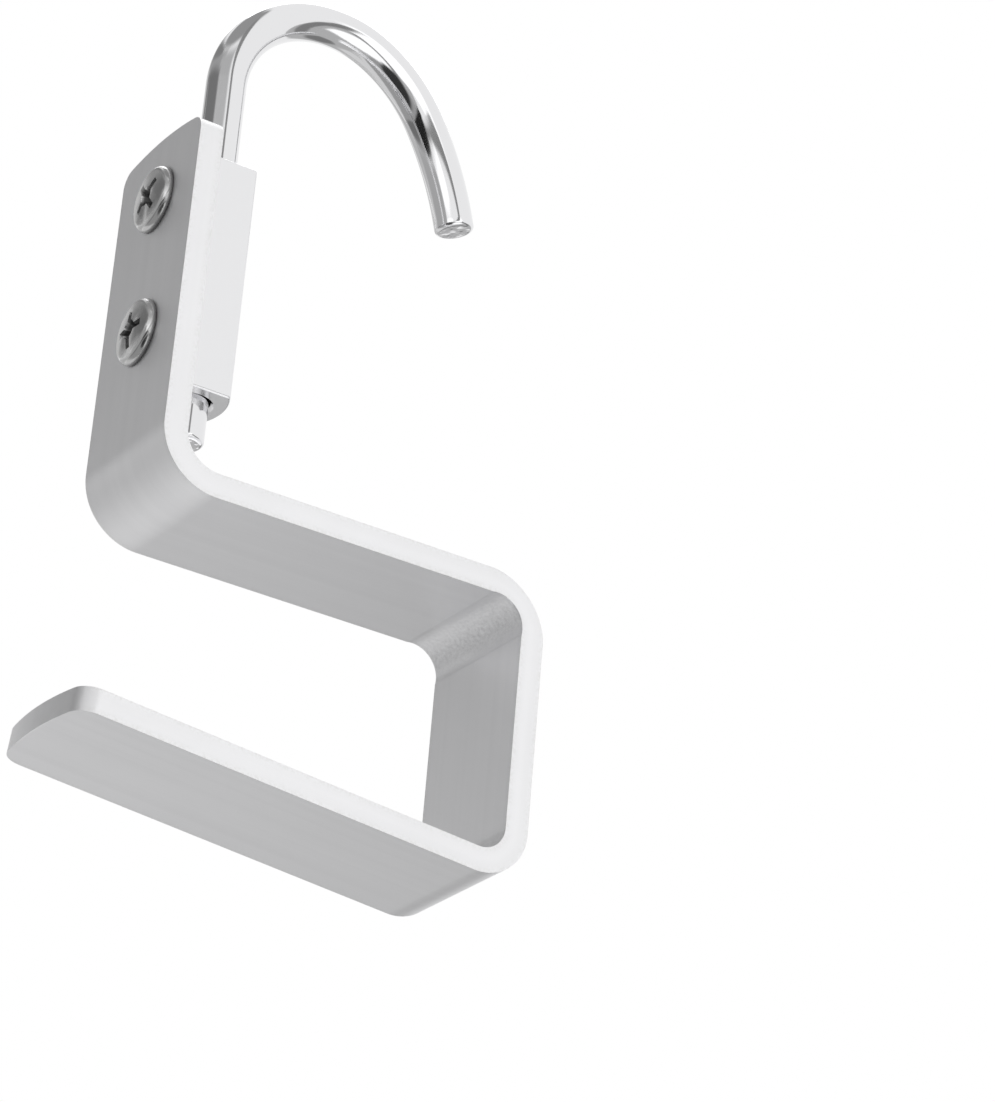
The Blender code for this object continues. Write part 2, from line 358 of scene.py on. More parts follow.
def build_grain_group():
    """Fine lines along X that a die, a roller or a belt leaves on metal."""
    tree, given, made = new_group("drawn_grain", "ShaderNodeTree",
                                  {"Vector": "Vector", "Lines Per Metre": "Float"},
                                  {"Fine": "Float", "Broad": "Float"})
    place = vector_maths(tree, "MULTIPLY", given["Vector"], (grain_along_share, 1, 1))
    lines = given["Lines Per Metre"]
    broad_lines = product(tree, lines, broad_lines_share)
    tree.links.new(noise(tree, place, lines, detail=3.0, roughness=0.7), made["Fine"])
    tree.links.new(noise(tree, place, broad_lines, detail=2.0), made["Broad"])
    return tree


drawn_grain = build_grain_group()


def add_grain(tree, place, lines):
    """Fine and Broad masks of the grain, by their names."""
    return add_node(tree, "ShaderNodeGroup", {"Vector": place, "Lines Per Metre": lines},
                    node_tree=drawn_grain).outputs


def blend_masks(tree, first, second, share):
    """The first mask at its share, and the second one for the rest."""
    return maths(tree, "ADD", product(tree, first, share), product(tree, second, 1 - share))


def make_block_metal():
    material, tree, shader = new_metal("extruded_aluminium", block_colour)
    place = result(add_node(tree, "ShaderNodeTexCoord"), "Object")
    turned = add_node(tree, "ShaderNodeMapping",
                      {"Vector": place, "Rotation": (0, math.pi / 2, 0)})
    grain = add_grain(tree, result(turned), block_grain_lines)
    smudges = add_smudges(tree, place, block_smudge_scale)
    rough = blend_masks(tree, smudges, grain["Broad"], block_smudge_share)
    tree.links.new(spread_over(tree, rough, *block_roughness), shader.inputs["Roughness"])
    add_bump(tree, shader, block_grain_height, grain["Fine"])
    return material


def build_drill_tree():
    """Two round holes through a piece, side by side and turned alike."""
    tree, given, made = new_group("two_screw_holes", "GeometryNodeTree",
                                  {"Piece": "Geometry", "Upper Hole": "Vector",
                                   "Lower Hole": "Vector", "Turn": "Vector",
                                   "Hole Radius": "Float", "Hole Length": "Float",
                                   "Material": "Material"}, {"Piece": "Geometry"})
    drill = add_node(tree, "GeometryNodeMeshCylinder", {"Vertices": screw_hole_sides,
                     "Radius": given["Hole Radius"], "Depth": given["Hole Length"]})
    turn = add_node(tree, "FunctionNodeEulerToRotation", {0: given["Turn"]})
    cut = add_node(tree, "GeometryNodeMeshBoolean", {"Mesh 1": given["Piece"]},
                   operation="DIFFERENCE", solver="EXACT")
    for place in ("Upper Hole", "Lower Hole"):
        placed = add_node(tree, "GeometryNodeTransform", {"Geometry": result(drill, "Mesh"),
                          "Translation": given[place], "Rotation": result(turn)})
        tree.links.new(result(placed), cut.inputs["Mesh 2"])
    end_tree(tree, result(cut), given["Material"], made["Piece"])
    return tree


two_screw_holes = build_drill_tree()


def turned_shape(profile, sides):
    """Revolve (radius, height) points, the first and last on the Z axis."""
    bm = bmesh.new()
    start = bm.verts.new((0, 0, profile[0][1]))
    end = bm.verts.new((0, 0, profile[-1][1]))
    rings = []
    for radius, height in profile[1:-1]:
        turns = [math.tau * side / sides for side in range(sides)]
        rings.append([bm.verts.new((radius * math.cos(turn), radius * math.sin(turn), height))
                      for turn in turns])
    for side in range(sides):
        following = (side + 1) % sides
        bm.faces.new((start, rings[0][following], rings[0][side]))
        bm.faces.new((end, rings[-1][side], rings[-1][following]))
        for low, high in zip(rings, rings[1:]):
            bm.faces.new((low[side], low[following], high[following], high[side]))
    return bm


def block_section():
    """Outline of the block in X and Y: flat back, flat sides, crowned front."""
    crown_depth = block_high.x - block_low.x
    rise = crown_depth - block_side_depth
    radius = (block_half_width ** 2 + rise ** 2) / (2 * rise)
    spread = math.asin(block_half_width / radius)
    section = [(block_low.x, block_half_width), (block_low.x, -block_half_width)]
    for step in range(block_crown_steps + 1):
        angle = spread * (2 * step / block_crown_steps - 1)
        section.append((block_high.x - radius + radius * math.cos(angle),
                        radius * math.sin(angle)))
    return section


def make_block():
    bm = bmesh.new()
    foot = bm.faces.new([bm.verts.new((x, y, block_low.z)) for x, y in block_section()])
    grown = bmesh.ops.extrude_face_region(bm, geom=[foot])
    moved = [item for item in grown["geom"] if isinstance(item, bmesh.types.BMVert)]
    bmesh.ops.translate(bm, verts=moved, vec=(0, 0, block_high.z - block_low.z))
    bmesh.ops.recalc_face_normals(bm, faces=bm.faces)
    metal = make_block_metal()
    block = new_piece("bored_clamp_block", bm, metal)
    round_edges(block, block_edge_round, block_edge_segments)

    mouth = bore_radius + bore_mouth_chamfer + cut_overrun
    profile = [(0, block_low.z - cut_overrun), (mouth, block_low.z - cut_overrun),
               (bore_radius, block_low.z + bore_mouth_chamfer),
               (bore_radius, block_high.z - bore_mouth_chamfer),
               (mouth, block_high.z + cut_overrun), (0, block_high.z + cut_overrun)]
    bm = turned_shape(profile, bore_sides)
    bmesh.ops.translate(bm, verts=bm.verts, vec=(shank_x, 0, 0))
    bmesh.ops.recalc_face_normals(bm, faces=bm.faces)
    reamer = new_piece("reamer", bm)
    bore = block.modifiers.new("bore", "BOOLEAN")
    bore.object = reamer
    back_to_bore = shank_x - block_low.x
    use_tree(block, two_screw_holes,
             {"Upper Hole": (block_low.x, 0, screw_heights["upper"]),
              "Lower Hole": (block_low.x, 0, screw_heights["lower"]),
              "Turn": (0, math.pi / 2, 0), "Hole Radius": screw_hole_radius,
              "Hole Length": 2 * back_to_bore, "Material": metal})
    make_plain(block)
    bpy.data.objects.remove(reamer)
    finish_piece(block, "frame", "clamp_block")


make_block()


# Flat bar
# A length of satin flat aluminium bar, cropped with crowned ends and drilled while it is flat, then
# bent three times into an upright leg, a middle arm, a right leg and a lower arm for the handles.
bar_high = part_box("strap_frame")[1]
bar_thickness = 0.0039
bar_half_width = bar_high.y
bar_edge_round = 0.0003
bar_edge_segments = 4
bar_end_crown_radius = 0.06
upper_end_corner_radius = 0.0028
lower_end_corner_radius = 0.0034
end_crown_steps = 24
end_corner_steps = 14
upper_leg_height = 0.0628
frame_depth = 0.0674
bag_bay_height = 0.0414
lower_arm_reach = 0.076
lower_arm_rise = math.radians(5.5)
# Inner and outer radius of each bend, from the upper end down.
bar_bend_radii = ((0.006, 0.0099), (0.0046, 0.0106), (0.004, 0.0079))
bend_steps = 40
route_fillet_steps = 160

bar_colour = (0.91, 0.91, 0.92, 1)
bar_dull_colour = (0.85, 0.85, 0.86, 1)
bar_roughness = (0.40, 0.50)
bar_smudge_scale = 60.0
bar_smudge_share = 0.4
bar_grain_lines = 3200.0
bar_grain_height = 0.00001
peel_scale = 1300.0
peel_height = 0.0001
outer_peel_share = 0.2
peel_length = 0.0085
# Mottled darker colour on the inner faces of the bends: crinkled skin, with painted shade in the
# crease.
crushed_and_shaded_colour = (0.70, 0.70, 0.71, 1)
crushed_and_shaded_length = 0.0065
wrinkle_and_shade_spread = (-0.3, 1.6)
nick_colour = (0.82, 0.82, 0.82, 1)
nick_scale = 2600.0
nick_span = (0.4, 0.65)
nick_reach = 0.0012


def split(tree, vector):
    """X, Y and Z of a vector."""
    return add_node(tree, "ShaderNodeSeparateXYZ", {"Vector": vector}).outputs


def nearness(tree, distance, reach):
    """1 where a distance is nothing, falling to 0 at the reach."""
    return result(add_node(tree, "ShaderNodeMapRange", {"Value": distance, "From Max": reach,
                  "To Min": 1.0, "To Max": 0.0}, interpolation_type="SMOOTHSTEP"))


def depth_inside(tree, half_size, coordinate):
    """How deep a place lies under the side whose distance from the middle is half the size."""
    return maths(tree, "SUBTRACT", half_size, maths(tree, "ABSOLUTE", coordinate))


def mix_colours(tree, share, first, second):
    return result(add_node(tree, "ShaderNodeMix", {"Factor": share, "A": first, "B": second},
                           data_type="RGBA"))


def edge_nicks(tree, flat, side_depth, face_depth):
    """Mask of the fine nicks along the bar's four long edges."""
    nicks = smooth_step(tree, noise(tree, flat, nick_scale, detail=3.0), *nick_span)
    return product(tree, nearness(tree, side_depth, nick_reach),
                   nearness(tree, face_depth, nick_reach), nicks)


def bend_masks(tree, x, z, bend_places):
    """Masks of the skin all round the bends, and of the crushed skin on their inner faces, where
    shade is also painted.
    """
    bent = 0.0
    crushed_and_shaded = 0.0
    for place, inner_side in bend_places:
        distance = maths(tree, "ABSOLUTE", maths(tree, "SUBTRACT", x, place))
        bent = maths(tree, "MAXIMUM", bent, nearness(tree, distance, peel_length))
        inside = maths(tree, "GREATER_THAN", product(tree, z, inner_side), 0.0)
        crushed_and_shaded = maths(tree, "MAXIMUM", crushed_and_shaded,
                        product(tree, inside, nearness(tree, distance, crushed_and_shaded_length)))
    return bent, crushed_and_shaded


def make_bar_metal(bend_places):
    material, tree, shader = new_metal("satin_aluminium", bar_colour)
    flat = own_value(tree, "flat_place", "Vector")
    x, y, z = split(tree, flat)
    side_depth = depth_inside(tree, bar_half_width, y)
    face_depth = depth_inside(tree, bar_thickness / 2, z)
    grain = add_grain(tree, flat, bar_grain_lines)
    rough = blend_masks(tree, add_smudges(tree, flat, bar_smudge_scale), grain["Fine"],
                        bar_smudge_share)
    tree.links.new(spread_over(tree, rough, *bar_roughness), shader.inputs["Roughness"])

    bent, crushed_and_shaded = bend_masks(tree, x, z, bend_places)
    on_face = maths(tree, "SUBTRACT", 1.0, nearness(tree, side_depth, bar_edge_round))
    peel = noise(tree, flat, peel_scale, detail=2.0)
    # Crinkles and painted shade: mottled darkening on the inner faces of the bends.
    wrinkles_and_shade = product(tree, crushed_and_shaded, spread_over(tree, peel, *wrinkle_and_shade_spread))
    colour = mix_colours(tree, grain["Broad"], bar_colour, bar_dull_colour)
    colour = mix_colours(tree, edge_nicks(tree, flat, side_depth, face_depth), colour, nick_colour)
    colour = mix_colours(tree, product(tree, on_face, wrinkles_and_shade), colour, crushed_and_shaded_colour)
    tree.links.new(colour, shader.inputs["Base Color"])

    peeled = maths(tree, "MAXIMUM", crushed_and_shaded, product(tree, bent, outer_peel_share))
    peel_share = product(tree, peeled, on_face, peel_height / bar_grain_height)
    add_bump(tree, shader, bar_grain_height,
             maths(tree, "ADD", grain["Fine"], product(tree, peel, peel_share)))
    return material


def bar_route():
    """Corners of the bar's centre line in X and Z, from the upper end to the lower one."""
    half = bar_thickness / 2
    leg_x = bar_high.x - frame_depth + half
    right_x = bar_high.x - half
    arm_z = bar_high.z - upper_leg_height + half
    along = Vector((-math.cos(lower_arm_rise), math.sin(lower_arm_rise)))
    foot_z = arm_z - half - bag_bay_height
    foot_z -= half / math.cos(lower_arm_rise) + half * math.tan(lower_arm_rise)
    heel = Vector((right_x, foot_z))
    reach = lower_arm_reach - half - half * math.sin(lower_arm_rise)
    return [Vector((leg_x, bar_high.z)), Vector((leg_x, arm_z)), Vector((right_x, arm_z)), heel,
            heel + along * (reach / math.cos(lower_arm_rise))]


def end_outline(corner_radius):
    """Half outline of a bar end: (distance from the tip, half width) from the tip inwards."""
    reach = bar_end_crown_radius - corner_radius
    corner_across = bar_half_width - corner_radius
    corner_along = bar_end_crown_radius - math.sqrt(reach ** 2 - corner_across ** 2)
    meet = math.asin(corner_across / reach)
    points = []
    for step in range(end_crown_steps):
        angle = meet * step / end_crown_steps
        points.append((bar_end_crown_radius * (1 - math.cos(angle)),
                       bar_end_crown_radius * math.sin(angle)))
    for step in range(end_corner_steps + 1):
        angle = meet + (math.pi / 2 - meet) * step / end_corner_steps
        points.append((corner_along - corner_radius * math.cos(angle),
                       corner_across + corner_radius * math.sin(angle)))
    return points


def flat_cuts(corners):
    """Cross cuts of the blank: (distance from its upper end, half width, half thickness).

    The middles of the bends come with them, each with the sign of Z on its inner face.
    """
    half = bar_thickness / 2
    cuts = [(distance, across, half) for distance, across in end_outline(upper_end_corner_radius)]
    bend_places = []
    run = 0.0
    for before, corner, after, (inner, outer) in zip(corners, corners[1:], corners[2:],
                                                     bar_bend_radii):
        turn = (corner - before).angle(after - corner)
        inner_side = math.copysign(1, (corner - before).cross(after - corner))
        radius = (inner + outer) / 2
        spread = (outer - inner) / 2
        tangent = radius * math.tan(turn / 2)
        run += (corner - before).length - tangent
        bend_places.append((run + radius * turn / 2, inner_side))
        # The inner and outer arcs touch the straight faces, which sets the thickness between them.
        for step in range(bend_steps + 1):
            angle = turn * step / bend_steps
            squeeze = (spread - half) * math.cos(angle - turn / 2) / math.cos(turn / 2)
            cuts.append((run + radius * angle, bar_half_width, spread - squeeze))
        run += radius * turn - tangent
    length = run + (corners[-1] - corners[-2]).length
    cuts += [(length - distance, across, half)
             for distance, across in reversed(end_outline(lower_end_corner_radius))]
    return cuts, bend_places


def flat_blank(cuts):
    """The bar before it is bent: X along it, Y across it, Z through it."""
    bm = bmesh.new()
    rows = []
    for run, across, half in cuts:
        sides = (0,) if across == 0 else (-across, across)
        rows.append([[bm.verts.new((run, y, z)) for y in sides] for z in (half, -half)])
    for (upper, lower), (next_upper, next_lower) in zip(rows, rows[1:]):
        bm.faces.new(upper + next_upper[::-1])
        bm.faces.new(lower + next_lower[::-1])
        for side in (0, -1):
            bm.faces.new((upper[side], next_upper[side], next_lower[side], lower[side]))
    bmesh.ops.recalc_face_normals(bm, faces=bm.faces)
    return bm


def build_bend_tree():
    """Lay a flat blank along a route, whose points carry the radius of their bend."""
    tree, given, made = new_group("bend_along_route", "GeometryNodeTree",
                                  {"Blank": "Geometry", "Route": "Object",
                                   "Material": "Material"}, {"Bar": "Geometry"})
    route = add_node(tree, "GeometryNodeObjectInfo", {"Object": given["Route"]})
    bent = add_node(tree, "GeometryNodeFilletCurve", {"Curve": result(route, "Geometry"),
                    "Count": route_fillet_steps, "Limit Radius": False,
                    "Radius": result(add_node(tree, "GeometryNodeInputRadius"))}, mode="POLY")
    flat = result(add_node(tree, "GeometryNodeInputPosition"))
    kept = add_node(tree, "GeometryNodeStoreNamedAttribute", {"Geometry": given["Blank"],
                    "Name": "flat_place", "Value": flat}, data_type="FLOAT_VECTOR",
                    domain="POINT")
    x, y, z = split(tree, flat)
    spot = add_node(tree, "GeometryNodeSampleCurve", {"Curves": result(bent), "Length": x},
                    mode="LENGTH")
    outward = vector_maths(tree, "CROSS_PRODUCT", result(spot, "Tangent"), (0, 1, 0))
    through = vector_maths(tree, "SCALE", outward, z)
    across = result(add_node(tree, "ShaderNodeCombineXYZ", {"Y": y}))
    offset = vector_maths(tree, "ADD", through, across)
    moved = add_node(tree, "GeometryNodeSetPosition", {"Geometry": result(kept),
                     "Position": vector_maths(tree, "ADD", result(spot, "Position"), offset)})
    end_tree(tree, result(moved), given["Material"], made["Bar"])
    return tree


def make_bar():
    corners = bar_route()
    radii = [(inner + outer) / 2 for inner, outer in bar_bend_radii]
    cuts, bend_places = flat_cuts(corners)
    satin = make_bar_metal(bend_places)
    bar = new_piece("satin_bent_bar", flat_blank(cuts), satin)
    round_edges(bar, bar_edge_round, bar_edge_segments)
    holes = {place: bar_high.z - height for place, height in screw_heights.items()}
    use_tree(bar, two_screw_holes,
             {"Upper Hole": (holes["upper"], 0, 0), "Lower Hole": (holes["lower"], 0, 0),
              "Hole Radius": screw_hole_radius, "Hole Length": bar_thickness + cut_overrun,
              "Material": satin})

    line = bpy.data.curves.new("bar_route", "CURVE")
    line.dimensions = "3D"
    spline = line.splines.new("POLY")
    spline.points.add(len(corners) - 1)
    for point, (x, z), radius in zip(spline.points, corners, [0, *radii, 0]):
        point.co = (x, 0, z, 1)
        point.radius = radius
    route = bpy.data.objects.new("bar_route", line)
    bpy.context.scene.collection.objects.link(route)
    use_tree(bar, build_bend_tree(), {"Route": route, "Material": satin})
    make_plain(bar)
    bpy.data.objects.remove(route)
    finish_piece(bar, "frame", "strap_frame")


make_bar()


# Clamp screws
# Two nickel-plated pan-head machine screws with a cross recess and a coarse thread. They go through
# the bar into the tapped holes of the block, and their points bear on the rod.
screw_head_radius = 0.0054
screw_head_height = 0.0019
screw_dome_radius = 0.02
screw_shoulder_radius = 0.0012
screw_tip_chamfer = 0.0006
screw_seat_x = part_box("clamp_screw_upper")[0].x + screw_head_height
screw_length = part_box("clamp_screw_upper")[1].x - screw_seat_x
thread_pitch = 0.0008
thread_depth = 0.00046
# Pitches below the head between which the thread runs out.
thread_run_out = (1.0, 0.25)
rows_per_pitch = 10
screw_sides = 96
merge_distance = 0.0000001
dome_steps = 16
shoulder_steps = 12
recess_span = 0.007
recess_floor_span = 0.0032
recess_slot_width = 0.0011
recess_floor_slot_width = 0.0007
recess_depth = 0.0021
recess_core_radius = 0.0016
recess_core_floor_radius = 0.0008
recess_core_sides = 32
screw_turns = {"upper": math.radians(40.0), "lower": math.radians(2.0)}

nickel_colour = (0.62, 0.62, 0.62, 1)
nickel_roughness = (0.14, 0.26)
nickel_smudge_scale = 400.0
# Painted shade: a dark dull grey in the recess and round the foot of the head.
painted_shade_colour = (0.11, 0.11, 0.11, 1)
# Depths under the crown between which the painted shade sets in, and how far out that counts.
painted_shade_depth = (0.00005, 0.0006)
painted_shade_radius = 0.0042
painted_shade_margin = 0.00001
# Height over the seat up to which painted shade lies round the foot of the head, and how much of
# it.
foot_shade_height = 0.0008
foot_shade_share = 0.9


def make_nickel():
    """Bright nickel, with painted shade as a dark dull grey in the recess and at the foot of the
    head.
    """
    material, tree, shader = new_metal("nickel_plating", nickel_colour)
    place = result(add_node(tree, "ShaderNodeTexCoord"), "Object")
    smudges = add_smudges(tree, place, nickel_smudge_scale)
    tree.links.new(spread_over(tree, smudges, *nickel_roughness), shader.inputs["Roughness"])
    # Painted shade: the recess and the foot of the head turn dark and no longer metallic.
    painted_shade = result(add_node(tree, "ShaderNodeMapRange", {
        "Value": own_value(tree, "hollow", "Fac"), "From Min": painted_shade_depth[0],
        "From Max": painted_shade_depth[1]}))
    tree.links.new(mix_colours(tree, painted_shade, nickel_colour, painted_shade_colour),
                   shader.inputs["Base Color"])
    tree.links.new(maths(tree, "SUBTRACT", 1.0, painted_shade), shader.inputs["Metallic"])
    return material


def screw_profile():
    """(radius, height) rows from the point's centre up the shank and over the head."""
    across = screw_head_radius - screw_shoulder_radius
    between = screw_dome_radius - screw_shoulder_radius
    dome_centre = screw_head_height - screw_dome_radius
    shoulder_centre = dome_centre + math.sqrt(between ** 2 - across ** 2)
    meet = math.asin(across / between)
    chamfer_top = screw_tip_chamfer - screw_length
    rows = [(0, -screw_length), (screw_radius - screw_tip_chamfer, -screw_length)]
    steps = round(-chamfer_top / thread_pitch * rows_per_pitch)
    rows += [(screw_radius, chamfer_top * (1 - step / steps)) for step in range(steps + 1)]
    rows.append((screw_head_radius, 0))
    for step in range(shoulder_steps):
        angle = math.pi / 2 + (meet - math.pi / 2) * step / shoulder_steps
        rows.append((across + screw_shoulder_radius * math.sin(angle),
                     shoulder_centre + screw_shoulder_radius * math.cos(angle)))
    for step in range(dome_steps):
        angle = meet * (1 - step / dome_steps)
        rows.append((screw_dome_radius * math.sin(angle),
                     dome_centre + screw_dome_radius * math.cos(angle)))
    rows.append((0, screw_head_height))
    return rows


def thread_cut(tree, given, height, share):
    """Depth of the thread at a height and a share of a turn, with none at the shank's ends."""
    pitch = given["Thread Pitch"]
    lead = maths(tree, "SUBTRACT", maths(tree, "DIVIDE", height, pitch), share)
    flank = maths(tree, "PINGPONG", lead, 0.5)
    foot = add_node(tree, "ShaderNodeMapRange", {
        "Value": height, "From Min": given["Thread Foot"],
        "From Max": maths(tree, "ADD", given["Thread Foot"], pitch)})
    top = add_node(tree, "ShaderNodeMapRange", {
        "Value": height, "From Min": product(tree, pitch, -thread_run_out[0]),
        "From Max": product(tree, pitch, -thread_run_out[1]), "To Min": 1.0, "To Max": 0.0})
    return product(tree, flank, 2.0, given["Thread Depth"],
                   product(tree, result(foot), result(top)))


def add_turning(tree, given):
    """Wrap the profile's rows round Z, with a thread cut into the shank below zero."""
    count = result(add_node(tree, "GeometryNodeAttributeDomainSize",
                            {"Geometry": given["Profile"]}), "Point Count")
    grid = add_node(tree, "GeometryNodeMeshGrid",
                    {"Vertices X": maths(tree, "ADD", given["Sides"], 1.0), "Vertices Y": count})
    index = result(add_node(tree, "GeometryNodeInputIndex"))
    row = maths(tree, "MODULO", index, count)
    share = maths(tree, "DIVIDE", maths(tree, "FLOOR", maths(tree, "DIVIDE", index, count)),
                  given["Sides"])
    spot = add_node(tree, "GeometryNodeSampleIndex", {"Geometry": given["Profile"],
                    "Value": result(add_node(tree, "GeometryNodeInputPosition")), "Index": row},
                    data_type="FLOAT_VECTOR")
    reach, _, height = split(tree, result(spot))
    radius = maths(tree, "SUBTRACT", reach, thread_cut(tree, given, height, share))
    angle = product(tree, share, math.tau)
    place = add_node(tree, "ShaderNodeCombineXYZ", {
        "X": product(tree, radius, maths(tree, "COSINE", angle)),
        "Y": product(tree, radius, maths(tree, "SINE", angle)), "Z": height})
    wrapped = add_node(tree, "GeometryNodeSetPosition",
                       {"Geometry": result(grid, "Mesh"), "Position": result(place)})
    return result(add_node(tree, "GeometryNodeMergeByDistance",
                           {"Geometry": result(wrapped), "Distance": merge_distance}))


def add_recess(tree, given, head):
    """Cut two crossed wedges and a cone, wide at the crown and narrow at the floor, in the head."""
    grown = 1 + cut_overrun / recess_depth
    floor = maths(tree, "SUBTRACT", given["Head Height"], given["Recess Depth"])

    def flared(low, high, rise):
        step = product(tree, maths(tree, "SUBTRACT", given[high], given[low]), rise)
        return maths(tree, "ADD", given[low], step)

    cube = add_node(tree, "GeometryNodeMeshCube", {"Size": (1, 1, 1)})
    x, y, z = split(tree, result(add_node(tree, "GeometryNodeInputPosition")))
    rise = product(tree, maths(tree, "ADD", z, 0.5), grown)
    span = flared("Floor Span", "Recess Span", rise)
    width = flared("Floor Slot Width", "Slot Width", rise)
    place = add_node(tree, "ShaderNodeCombineXYZ", {
        "X": product(tree, x, span), "Y": product(tree, y, width),
        "Z": maths(tree, "ADD", floor, product(tree, rise, given["Recess Depth"]))})
    wedge = add_node(tree, "GeometryNodeSetPosition",
                     {"Geometry": result(cube, "Mesh"), "Position": result(place)})
    crossed = add_node(tree, "GeometryNodeTransform",
                       {"Geometry": result(wedge), "Rotation": (0, 0, math.pi / 2)})
    core = add_node(tree, "GeometryNodeMeshCone", {
        "Vertices": recess_core_sides, "Radius Bottom": given["Core Floor Radius"],
        "Radius Top": flared("Core Floor Radius", "Core Radius", grown),
        "Depth": product(tree, given["Recess Depth"], grown)})
    sunk = add_node(tree, "GeometryNodeTransform", {"Geometry": result(core, "Mesh"),
                    "Translation": result(add_node(tree, "ShaderNodeCombineXYZ", {"Z": floor}))})
    for cutter in (wedge, crossed, sunk):
        cut = add_node(tree, "GeometryNodeMeshBoolean", {"Mesh 1": head},
                       operation="DIFFERENCE", solver="EXACT")
        tree.links.new(result(cutter), cut.inputs["Mesh 2"])
        head = result(cut)
    return head


def store_shade_mask(tree, screw):
    """Keep how deep a place lies in the recess, or how near it is to the foot of the head, as the
    mask of the painted shade.
    """
    place = result(add_node(tree, "GeometryNodeInputPosition"))
    height = split(tree, place)["Z"]
    radius = vector_maths(tree, "LENGTH", vector_maths(tree, "MULTIPLY", place, (1, 1, 0)))
    rise = maths(tree, "SQRT", maths(tree, "SUBTRACT", screw_dome_radius ** 2,
                                     product(tree, radius, radius)))
    crown = maths(tree, "ADD", rise, screw_head_height - screw_dome_radius)
    sunk = product(tree, maths(tree, "SUBTRACT", crown, height),
                   maths(tree, "LESS_THAN", radius, painted_shade_radius))
    foot = product(tree, maths(tree, "SUBTRACT", foot_shade_height, height), foot_shade_share)
    above = maths(tree, "GREATER_THAN", height, screw_head_height - recess_depth - painted_shade_margin)
    deep = product(tree, maths(tree, "MAXIMUM", sunk, foot), above)
    kept = add_node(tree, "GeometryNodeStoreNamedAttribute", {"Geometry": screw,
                    "Name": "hollow", "Value": deep}, data_type="FLOAT", domain="POINT")
    return result(kept)


def build_screw_tree():
    """Pan-head screw from its profile, turned about its axis and laid along X at its place."""
    sizes = ("Thread Pitch", "Thread Depth", "Thread Foot", "Head Height", "Recess Span",
             "Floor Span", "Slot Width", "Floor Slot Width", "Recess Depth", "Core Radius",
             "Core Floor Radius")
    sockets = {"Profile": "Geometry", "Sides": "Int", **{name: "Float" for name in sizes},
               "Turn": "Vector", "Place": "Vector", "Material": "Material"}
    tree, given, made = new_group("pan_head_screw", "GeometryNodeTree", sockets,
                                  {"Screw": "Geometry"})
    screw = store_shade_mask(tree, add_recess(tree, given, add_turning(tree, given)))
    turn = add_node(tree, "FunctionNodeEulerToRotation", {0: given["Turn"]})
    turned = add_node(tree, "GeometryNodeTransform", {"Geometry": screw, "Rotation": result(turn)})
    placed = add_node(tree, "GeometryNodeTransform",
                      {"Geometry": result(turned), "Translation": given["Place"],
                       "Rotation": (0, -math.pi / 2, 0)})
    end_tree(tree, result(placed), given["Material"], made["Screw"])
    return tree


def make_screws():
    tree = build_screw_tree()
    nickel = make_nickel()
    for place, height in screw_heights.items():
        screw = new_piece(place + "_pan_head_screw", line_through(screw_profile()), nickel)
        use_tree(screw, tree, {
            "Sides": screw_sides, "Thread Pitch": thread_pitch, "Thread Depth": thread_depth,
            "Thread Foot": screw_tip_chamfer - screw_length, "Head Height": screw_head_height,
            "Recess Span": recess_span, "Floor Span": recess_floor_span,
            "Slot Width": recess_slot_width, "Floor Slot Width": recess_floor_slot_width,
            "Recess Depth": recess_depth, "Core Radius": recess_core_radius,
            "Core Floor Radius": recess_core_floor_radius,
            "Turn": (0, 0, screw_turns[place]), "Place": (screw_seat_x, 0, height),
            "Material": nickel})
        finish_piece(screw, "frame", "clamp_screw_" + place)


make_screws()


# Studio
# A pale floor far below the rail, white all round, one soft box above, and cards that the camera
# doesn't see: bright metal shows its form only where it has something darker to reflect.

# The place, lens and picture axes of a camera at the photograph's viewing angle.
camera_place = Vector((-0.26871, -0.52308, -0.36318))
camera_right = Vector((0.84092, -0.53560, 0.07740))
camera_down = Vector((0.28897, 0.32348, -0.90103))
camera_forward = Vector((0.45756, 0.78006, 0.42679))
camera_lens = 140.81
sensor_long_side = 36.0
nearest_view = 0.01

floor_z = -1.9
floor_radius = 9.0
floor_sides = 96
floor_grey = 0.82
room_light = 0.6
object_centre = (cad_box[0] + cad_box[1]) / 2
far_cards = 1.8
middle_cards = 1.7
near_cards = 1.6
close_cards = 1.4
card_step = 3.0
card_rows = 14


def make_camera():
    camera = bpy.data.cameras.new("camera")
    camera.sensor_fit = "AUTO"
    camera.sensor_width = sensor_long_side
    camera.lens = camera_lens
    camera.clip_start = nearest_view
    holder = bpy.data.objects.new("camera", camera)
    turn = Matrix((camera_right, -camera_down, -camera_forward)).transposed()
    holder.matrix_world = Matrix.Translation(camera_place) @ turn.to_4x4()
    bpy.context.scene.collection.objects.link(holder)
    bpy.context.scene.camera = holder


def make_floor():
    material = bpy.data.materials.new("pale_floor")
    material.use_nodes = True
    shader = material.node_tree.nodes["Principled BSDF"]
    shader.inputs["Base Color"].default_value = (floor_grey, floor_grey, floor_grey, 1)
    shader.inputs["Roughness"].default_value = 1
    shader.inputs["Specular IOR Level"].default_value = 0
    bm = bmesh.new()
    bmesh.ops.create_circle(bm, cap_ends=True, segments=floor_sides, radius=floor_radius,
                            matrix=Matrix.Translation((0, 0, floor_z)))
    new_piece("floor", bm, material)


def direction(azimuth, elevation):
    """Unit vector from the object: azimuth 0 towards -Y and 90 towards +X, in degrees."""
    turn = math.radians(azimuth)
    rise = math.radians(elevation)
    return Vector((math.sin(turn) * math.cos(rise), -math.cos(turn) * math.cos(rise),
                   math.sin(rise)))


